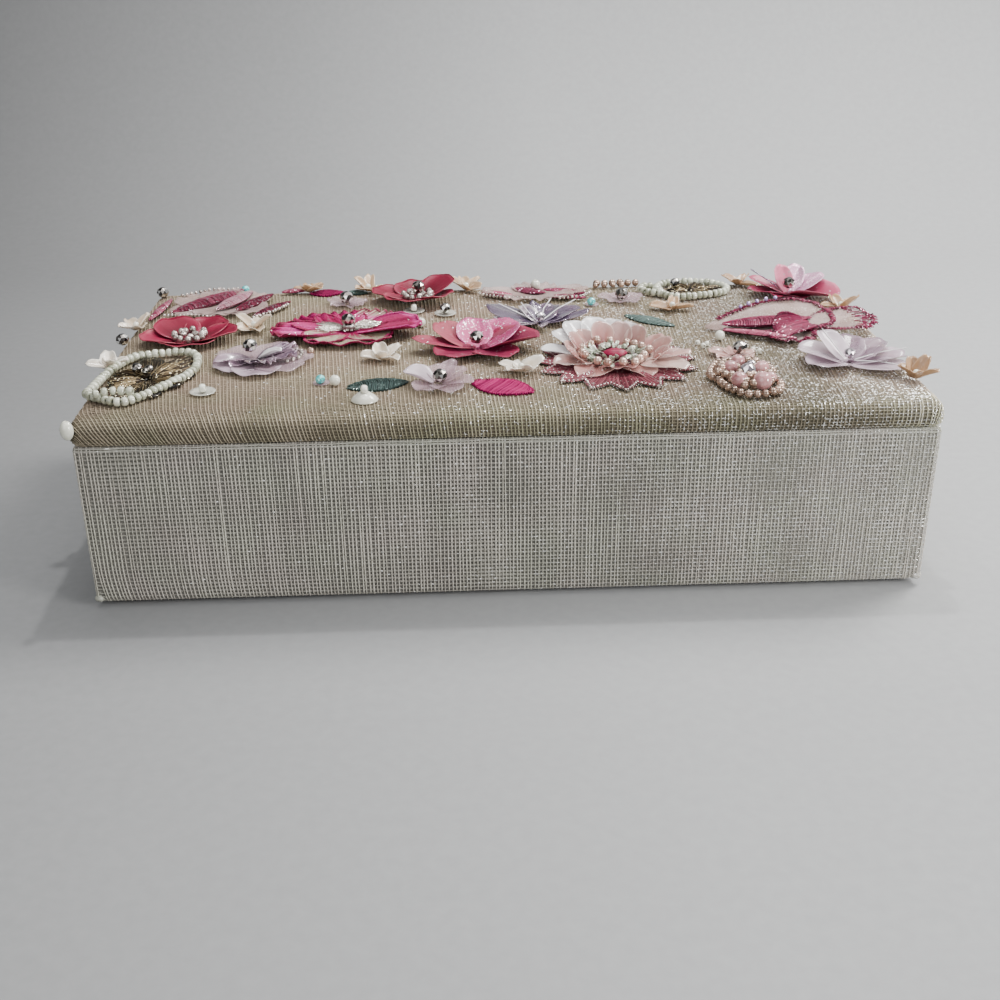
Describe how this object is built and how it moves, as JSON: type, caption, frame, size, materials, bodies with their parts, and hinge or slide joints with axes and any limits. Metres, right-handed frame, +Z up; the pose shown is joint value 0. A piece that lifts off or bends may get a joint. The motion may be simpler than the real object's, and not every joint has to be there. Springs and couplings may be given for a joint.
{
  "type": "hinged keepsake box",
  "caption": "Rectangular keepsake box with a hinged padded lid, covered in open mesh cloth and sewn with bead, sequin and thread flowers; lined to hold small things.",
  "frame": {"origin": "under the middle of the box, on the surface that it stands on", "axes": "+X along the length, +Y towards the hinged back, +Z up"},
  "size_m": [0.2126, 0.1106, 0.0583],
  "materials": {
    "greyboard": "raw pulp board, hidden under cloth",
    "card": "thin covered card",
    "wall_cloth": "open ivory and silver mesh over taupe ground",
    "lid_cloth": "open ivory and silver mesh over taupe ground, drawn round wadding",
    "wadding": "soft polyester wadding",
    "lining_satin": "ivory satin lining",
    "panel_cloth": "plain taupe book cloth",
    "hinge_tape": "woven cotton hinge tape",
    "nickel": "nickel plated magnet",
    "keeper_steel": "thin steel strip",
    "mint_glass": "opaque mint ivory glass, glossy",
    "gold_thread": "bronze gold metallic thread",
    "crimson_sequin": "glossy pressed sequin",
    "clear_glass": "clear silver lined glass",
    "pink_organza": "organza with metallic pink embroidery",
    "lilac_sequin": "translucent matte lilac film",
    "lilac_crystal": "clear creased lilac film",
    "silk_thread": "dense silk thread painting, magenta, crimson and ivory",
    "coral_sequin": "embossed pearly coral film",
    "pink_sequin": "embossed pearly pink film",
    "rose_embroidery": "dense rose embroidery edged with silver",
    "peach_sequin": "translucent peach film",
    "white_sequin": "glossy white film",
    "rose_pearl": "champagne rose pearl lustre",
    "crimson_satin": "satin stitch",
    "rose_glass": "rose faceted glass",
    "shell": "pearly peach shell film",
    "teal_satin": "satin stitch",
    "magenta_satin": "satin stitch",
    "white_pearl": "white pearl lustre",
    "aqua_glass": "iridescent aqua crystal",
    "silver_bead": "faceted silver bead"
  },
  "bodies": {
    "base": {"base_board": "greyboard", "wall_board_front": "greyboard", "wall_board_back": "greyboard", "wall_board_left": "greyboard", "wall_board_right": "greyboard", "wall_cover_cloth": "wall_cloth", "bottom_panel_card": "card", "bottom_panel_cloth": "panel_cloth", "lining_panel_front": "lining_satin", "lining_panel_back": "lining_satin", "lining_panel_left": "lining_satin", "lining_panel_right": "lining_satin", "floor_lining_card": "card", "floor_cushion": "lining_satin", "catch_magnets": "nickel", "hinge_cloth_wall_leaf": "hinge_tape"},
    "lid": {"aqua_crystals": "aqua_glass", "bead_base_flowers": "lilac_sequin", "cluster_pearls": "rose_pearl", "cluster_rose_beads": "rose_glass", "coral_flower": "coral_sequin", "corner_pearl": "white_pearl", "crystal_flower": "lilac_crystal", "cup_sequins": "white_sequin", "faceted_beads": "silver_bead", "hinge_cloth_lid_leaf": "hinge_tape", "lid_board": "greyboard", "lid_cover_cloth": "lid_cloth", "lid_keepers": "keeper_steel", "lid_lining_card": "card", "lid_lining_pad": "lining_satin", "lid_wadding": "wadding", "lilac_flower_left": "lilac_sequin", "lilac_flower_left_top": "lilac_crystal", "lilac_flower_right": "lilac_sequin", "loose_pearls": "white_pearl", "organza_flower_back": "pink_organza", "organza_flower_left": "pink_organza", "organza_flower_right": "pink_organza", "pearl_row": "rose_pearl", "pink_flower_back": "pink_sequin", "pink_leaves": "magenta_satin", "red_flower_back_beads": "clear_glass", "red_flower_back_petals": "crimson_sequin", "red_flower_left_beads": "clear_glass", "red_flower_left_petals": "crimson_sequin", "seed_loop_back": "mint_glass", "seed_loop_front": "mint_glass", "shell_flowers": "shell", "silk_thread_flower": "silk_thread", "small_lilac_flowers": "lilac_sequin", "sunburst_base": "rose_embroidery", "sunburst_centre": "crimson_satin", "sunburst_mint_beads": "mint_glass", "sunburst_pearls": "rose_pearl", "sunburst_petals": "peach_sequin", "sunburst_white_sequins": "white_sequin", "teal_leaves": "teal_satin", "thread_petals_back": "gold_thread", "thread_petals_front": "gold_thread"}
  },
  "joints": [
    {"name": "lid_hinge", "type": "hinge", "parent": "base", "child": "lid", "pos_m": [0, 0.0543, 0.0439], "axis": [-1, 0, 0], "range_deg": [0, 120]}
  ]
}
